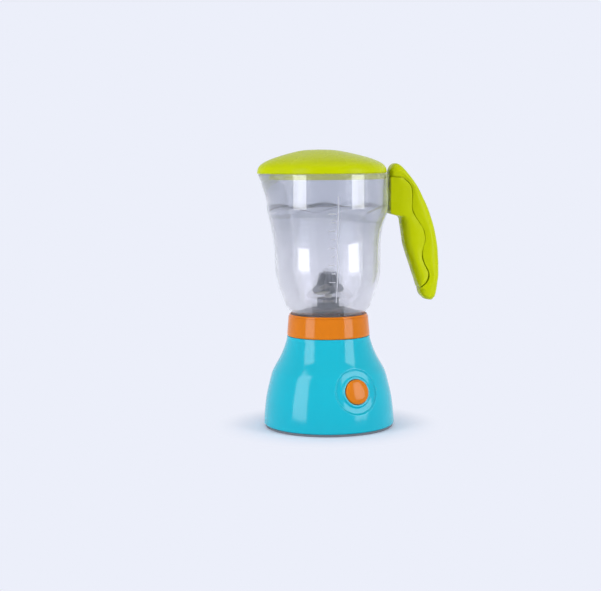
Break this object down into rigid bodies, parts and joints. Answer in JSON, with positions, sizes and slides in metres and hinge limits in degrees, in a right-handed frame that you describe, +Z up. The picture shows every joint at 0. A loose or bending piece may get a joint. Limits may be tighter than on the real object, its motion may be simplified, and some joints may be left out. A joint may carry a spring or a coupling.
{
  "type": "toy blender",
  "caption": "Toy kitchen blender: a flared battery base with a push button and geared motor, a clear spouted jug with a hooked handle and a stirrer, and a domed lid.",
  "frame": {"origin": "on the floor under the middle of the base, in the battery door's outer face", "axes": "+Z up along the drive shaft, +X towards the handle, -Y towards the front, +Y towards the sound slots"},
  "size_m": [0.1548, 0.111, 0.234],
  "materials": {
    "teal_plastic": "polished",
    "lime_plastic": "satin",
    "orange_plastic": "satin",
    "dark_plastic": "satin",
    "clear_plastic": "polished, clear",
    "white_nylon": "matt",
    "black_plastic": "satin",
    "circuit_green": "satin",
    "red_insulation": "matt",
    "zinc_steel": "zinc plated",
    "cone_paper": "matt",
    "cell_jacket": "printed film"
  },
  "bodies": {
    "base": {"base_housing": "teal_plastic", "base_plate": "dark_plastic", "battery_1": "cell_jacket", "battery_2": "cell_jacket", "battery_wire_black": "black_plastic", "battery_wire_red": "red_insulation", "button_spring": "zinc_steel", "circuit_board": "circuit_green", "contact_bridge": "zinc_steel", "contact_negative": "zinc_steel", "contact_positive": "zinc_steel", "gearbox_lower_plate": "white_nylon", "gearbox_screw_1": "zinc_steel", "gearbox_screw_2": "zinc_steel", "gearbox_screw_3": "zinc_steel", "gearbox_upper_plate": "white_nylon", "idler_axle": "zinc_steel", "lamp": "clear_plastic", "lamp_lead": "black_plastic", "motor_can": "zinc_steel", "motor_endcap": "black_plastic", "motor_wire_black": "black_plastic", "motor_wire_red": "red_insulation", "output_bush": "white_nylon", "plate_screw_1": "zinc_steel", "plate_screw_2": "zinc_steel", "plate_screw_3": "zinc_steel", "plate_screw_4": "zinc_steel", "sound_chip": "black_plastic", "speaker_cone": "cone_paper", "speaker_frame": "black_plastic", "speaker_lead": "black_plastic", "switch_body": "black_plastic", "switch_bracket": "black_plastic", "switch_wire_black": "black_plastic", "switch_wire_red": "red_insulation"},
    "drive": {"output_gear": "white_nylon", "drive_shaft": "zinc_steel", "drive_coupling": "white_nylon"},
    "idler": {"idler_gear": "white_nylon"},
    "motor_rotor": {"motor_shaft": "zinc_steel", "motor_pinion": "white_nylon"},
    "push_button": {"button": "orange_plastic"},
    "plunger": {"switch_plunger": "white_nylon"},
    "door": {"battery_door": "dark_plastic", "door_screw_1": "zinc_steel", "door_screw_2": "zinc_steel"},
    "jug": {"jug_body": "clear_plastic", "jug_collar": "orange_plastic", "jug_floor": "dark_plastic", "handle_inner": "lime_plastic", "handle_outer": "lime_plastic", "handle_screw_1": "zinc_steel", "handle_screw_2": "zinc_steel", "stirrer_bush": "white_nylon"},
    "stirring": {"stirrer": "dark_plastic", "stirrer_shaft": "zinc_steel", "driven_coupling": "white_nylon"},
    "cover": {"lid": "lime_plastic"}
  },
  "joints": [
    {"name": "drive_spin", "type": "hinge", "parent": "base", "child": "drive", "pos_m": [0, 0, 0.09], "axis": [0, 0, 1], "continuous": true},
    {"name": "idler_spin", "type": "hinge", "parent": "base", "child": "idler", "pos_m": [-0.01515, 0.00772, 0.066], "axis": [0, 0, 1], "continuous": true},
    {"name": "motor_spin", "type": "hinge", "parent": "base", "child": "motor_rotor", "pos_m": [-0.01292, -0.00813, 0.06], "axis": [0, 0, 1], "continuous": true},
    {"name": "button_press", "type": "slide", "parent": "base", "child": "push_button", "axis": [-0.2997, 0.9224, -0.2437], "range_m": [0, 0.003], "stiffness_N_per_m": 300, "springref_m": -0.002, "deforming": ["button_spring"]},
    {"name": "plunger_press", "type": "slide", "parent": "base", "child": "plunger", "axis": [-0.2997, 0.9224, -0.2437], "range_m": [0, 0.003]},
    {"name": "door_lift_off", "type": "slide", "parent": "base", "child": "door", "axis": [0, 0, -1], "range_m": [0, 0.03]},
    {"name": "jug_lift_off", "type": "slide", "parent": "base", "child": "jug", "axis": [0, 0, 1], "range_m": [0, 0.06]},
    {"name": "stirrer_spin", "type": "hinge", "parent": "jug", "child": "stirring", "pos_m": [0, 0, 0.11], "axis": [0, 0, 1], "continuous": true},
    {"name": "lid_lift_off", "type": "slide", "parent": "jug", "child": "cover", "axis": [0, 0, 1], "range_m": [0, 0.05]}
  ],
  "couplings": [
    {"joint": "idler_spin", "follows": "drive_spin", "ratio": -2.4},
    {"joint": "motor_spin", "follows": "drive_spin", "ratio": 7.2},
    {"joint": "stirrer_spin", "follows": "drive_spin", "ratio": 1},
    {"joint": "plunger_press", "follows": "button_press", "ratio": 1}
  ]
}
